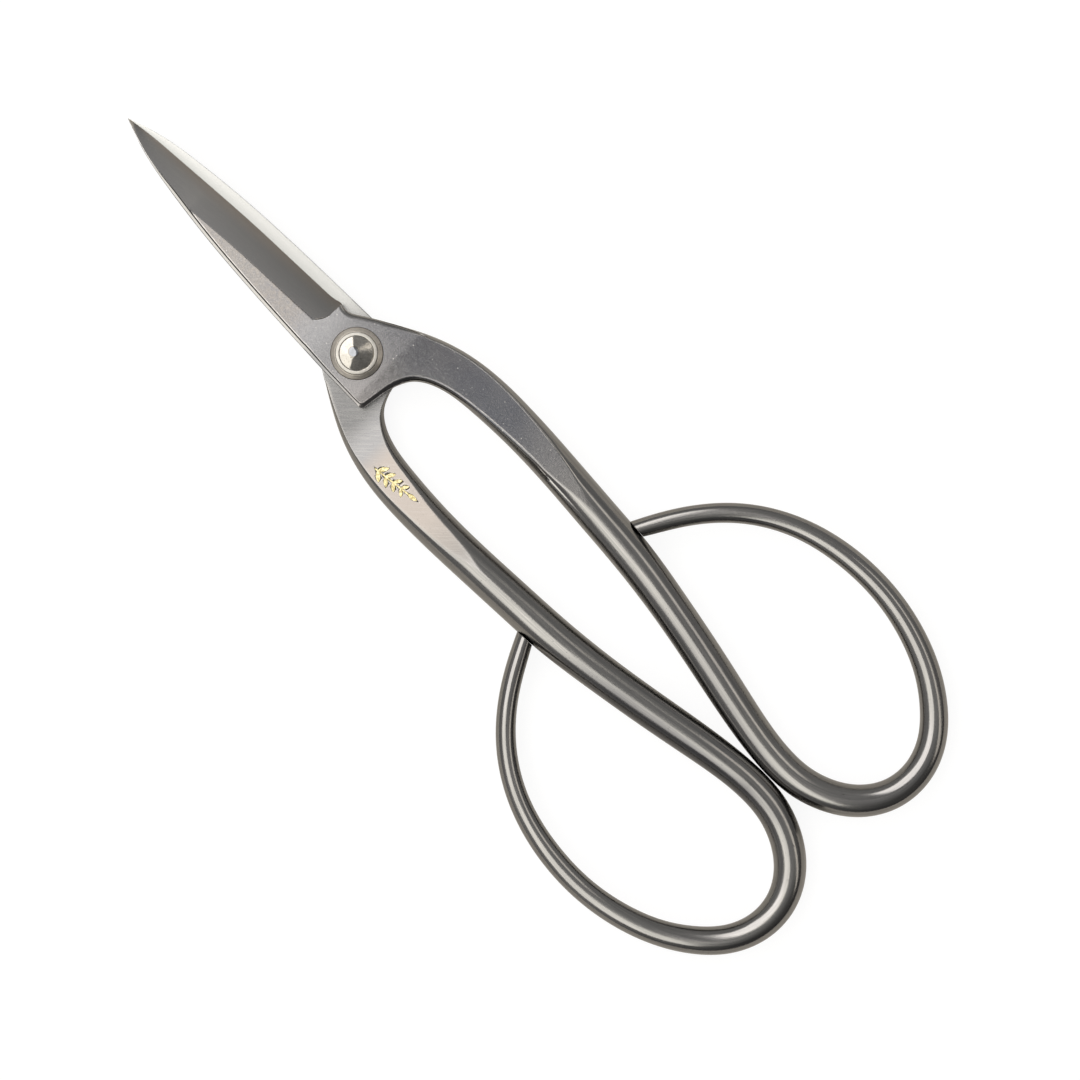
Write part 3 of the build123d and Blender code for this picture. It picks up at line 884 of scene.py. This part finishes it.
def turned_steel(name, dark, light, rough_low, rough_high, depth, collar=None):
    """Small turned or hammered steel with grain, dents and spots; collar adds a satin ring."""
    material, tree, shader, position = new_material(name)
    spot = noise(tree, position, (1.1, 1.1, 1.1), 4, 0.6)
    grain = noise(tree, position, (9, 9, 9), 3, 0.6)
    dent = noise(tree, position, (2.6, 2.6, 2.6), 2, 0.5)
    colour = mix_colour(tree, spread_value(tree, spot, 0.3, 0.7), dark, light)
    pit = spread_value(tree, noise(tree, position, (2.6, 2.6, 2.6), 3, 0.65), 0.63, 0.7)
    colour = mix_colour(tree, multiply(tree, pit, 0.75), colour, (0.07, 0.062, 0.05))
    roughness = spread_value(tree, grain, 0.3, 0.7, rough_low, rough_high)
    level = node(tree, "ShaderNodeVectorMath", {0: position, 1: (1, 1, 0)}, operation="MULTIPLY").outputs[0]
    radius = node(tree, "ShaderNodeVectorMath", {0: level}, operation="LENGTH").outputs["Value"]
    # painted contact shadow round the washer's outer edge
    colour = mix_colour(tree, spread_value(tree, radius, *washer_shade_band), colour, (0.12, 0.105, 0.09))
    if collar:
        aside = node(tree, "ShaderNodeVectorMath", {0: level, 1: (*peened_spot, 0)}, operation="DISTANCE")
        aside = add(tree, aside.outputs["Value"], multiply(tree, dent, 0.3))
        ring = multiply(tree, spread_value(tree, aside, 1.03, 1.12), spread_value(tree, aside, 1.3, 1.16))
        colour = mix_colour(tree, spread_value(tree, aside, 1.12, 1.02), colour, (0.21, 0.22, 0.235))
        colour = mix_colour(tree, multiply(tree, ring, 0.6), colour, (0.1, 0.085, 0.065))
        outside = spread_value(tree, radius, head_rim - 0.04, head_rim + 0.04)
        satin = mix_colour(tree, spread_value(tree, spot, 0.3, 0.7), *collar)
        colour = mix_colour(tree, outside, colour, satin)
        roughness = mix_value(tree, outside, roughness, spread_value(tree, grain, 0.3, 0.7, 0.46, 0.58))
    height = add(tree, dent, multiply(tree, grain, 0.15))
    finish_material(tree, shader, colour, roughness, height, depth)
    return material


def gold_inlay():
    """Rubbed gold paste in a shallow mark."""
    material, tree, shader, position = new_material("gold_inlay")
    patch = noise(tree, position, (1.6, 1.6, 1.6), 4, 0.65)
    colour = mix_colour(tree, spread_value(tree, patch, 0.35, 0.62), (0.3, 0.25, 0.11), (0.56, 0.51, 0.3))
    roughness = spread_value(tree, patch, 0.3, 0.7, 0.5, 0.28)
    finish_material(tree, shader, colour, roughness, patch, 0.05)
    return material


# --- pieces ----------------------------------------------------------------------------------
steel = forged_steel()
for name, node_name, body, side in (
    ("front_half_forging", "front_half", "front_body", 1),
    ("rear_half_forging", "rear_half", "rear_body", -1),
):
    piece = half(name, side)
    piece.data.materials.append(steel)
    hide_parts(node_name)
    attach(piece, body)

washer_steel = turned_steel("washer_steel", (0.53, 0.49, 0.435), (0.66, 0.62, 0.56), 0.3, 0.42, 0.01)
for name, node_name, side in (
    ("front_cone_washer", "front_washer", 1),
    ("rear_cone_washer", "rear_washer", -1),
):
    piece = washer(name, side)
    piece.data.materials.append(washer_steel)
    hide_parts(node_name)
    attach(piece, "rear_body")

piece = rivet("hammered_rivet")
satin_collar = ((0.46, 0.445, 0.41), (0.54, 0.53, 0.5))
piece.data.materials.append(turned_steel(
    "rivet_steel", (0.3, 0.287, 0.262), (0.37, 0.358, 0.335), 0.13, 0.22, 0.018, satin_collar))
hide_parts("pivot_rivet")
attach(piece, "rear_body")

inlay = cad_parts["gold_sprig_inlay"]
inlay.data.materials.clear()
inlay.data.materials.append(gold_inlay())

# --- camera, floor and light -------------------------------------------------------------------
scene = bpy.context.scene
scene.view_settings.view_transform = "Standard"
view_width = 0.2081
view_distance = 1.0
view_middle = (-0.05018, -0.00025)
sensor_width = 36
floor_reach = 3000
camera_data = bpy.data.cameras.new("photo_camera")
camera = bpy.data.objects.new("photo_camera", camera_data)
scene.collection.objects.link(camera)
turn = math.radians(45.8)
right_way = Vector((-math.cos(turn), -math.sin(turn), 0))
up_way = Vector((math.sin(turn), -math.cos(turn), 0))
pose = Matrix((right_way, up_way, Vector((0, 0, 1)))).transposed().to_4x4()
pose.translation = Vector((*view_middle, middle_height * MM + view_distance))
camera.matrix_world = pose
camera_data.sensor_width = sensor_width
camera_data.lens = sensor_width * view_distance / view_width
camera_data.clip_start = 0.01
scene.camera = camera

floor_corners = [(x * floor_reach, y * floor_reach, 0) for x, y in ((-1, -1), (1, -1), (1, 1), (-1, 1))]
floor = new_object("floor", floor_corners, [(0, 1, 2, 3)])
floor_material = bpy.data.materials.new("pale_floor")
floor_material.use_nodes = True
tree = floor_material.node_tree
shader = tree.nodes["Principled BSDF"]
shader.inputs["Roughness"].default_value = 0.9
shader.inputs["Emission Color"].default_value = (1, 1, 1, 1)
ray = node(tree, "ShaderNodeLightPath")
link(tree, multiply(tree, ray.outputs["Is Camera Ray"], 0.9), shader.inputs["Emission Strength"])
floor_colour = mix_colour(tree, ray.outputs["Is Camera Ray"], (0.7, 0.67, 0.62), (0.12, 0.12, 0.12))
link(tree, floor_colour, shader.inputs["Base Color"])
floor.data.materials.append(floor_material)

world = bpy.data.worlds.new("studio")
scene.world = world
world.use_nodes = True
tree = world.node_tree
place = node(tree, "ShaderNodeTexCoord")
way = node(tree, "ShaderNodeSeparateXYZ", {0: place.outputs["Generated"]}).outputs
level = spread_value(tree, way["Z"], 0.3, 0.95, 0.34, 0.5)
level = multiply(tree, level, spread_value(tree, way["X"], -0.75, -0.2, 0.3, 1.0))
ray = node(tree, "ShaderNodeLightPath")
level = mix_value(tree, ray.outputs["Is Camera Ray"], level, 0.95)
link(tree, level, tree.nodes["Background"].inputs["Strength"])
tree.nodes["Background"].inputs["Color"].default_value = (1, 0.985, 0.97, 1)


def panel(name, turn, near, far, start, end, brightness, colour):
    """A soft studio panel, level and facing down, given as its reach for a height of 1."""
    height = 3.0
    light = bpy.data.lights.new(name, "AREA")
    light.shape = "RECTANGLE"
    light.size = (far - near) * height
    light.size_y = (end - start) * height
    light.energy = brightness * math.pi * light.size * light.size_y
    light.color = colour
    lamp = bpy.data.objects.new(name, light)
    scene.collection.objects.link(lamp)
    plan = math.radians(turn)
    out, side = (near + far) / 2 * height, (start + end) / 2 * height
    lamp.rotation_euler = (0, 0, plan)
    lamp.location = (
        math.cos(plan) * out - math.sin(plan) * side,
        math.sin(plan) * out + math.cos(plan) * side,
        height,
    )
    lamp.visible_camera = False


panel("tip_panel", 45, 0.035, 0.85, -1.1, 0.0, 3.1, (1, 0.96, 0.93))
panel("left_panel", 45, 0.035, 0.85, 0.0, 1.1, 2.4, (1, 0.965, 0.89))
panel("right_panel", -90, 0.6, 1.0, -1.6, 0.0, 1.5, (1, 0.93, 0.83))
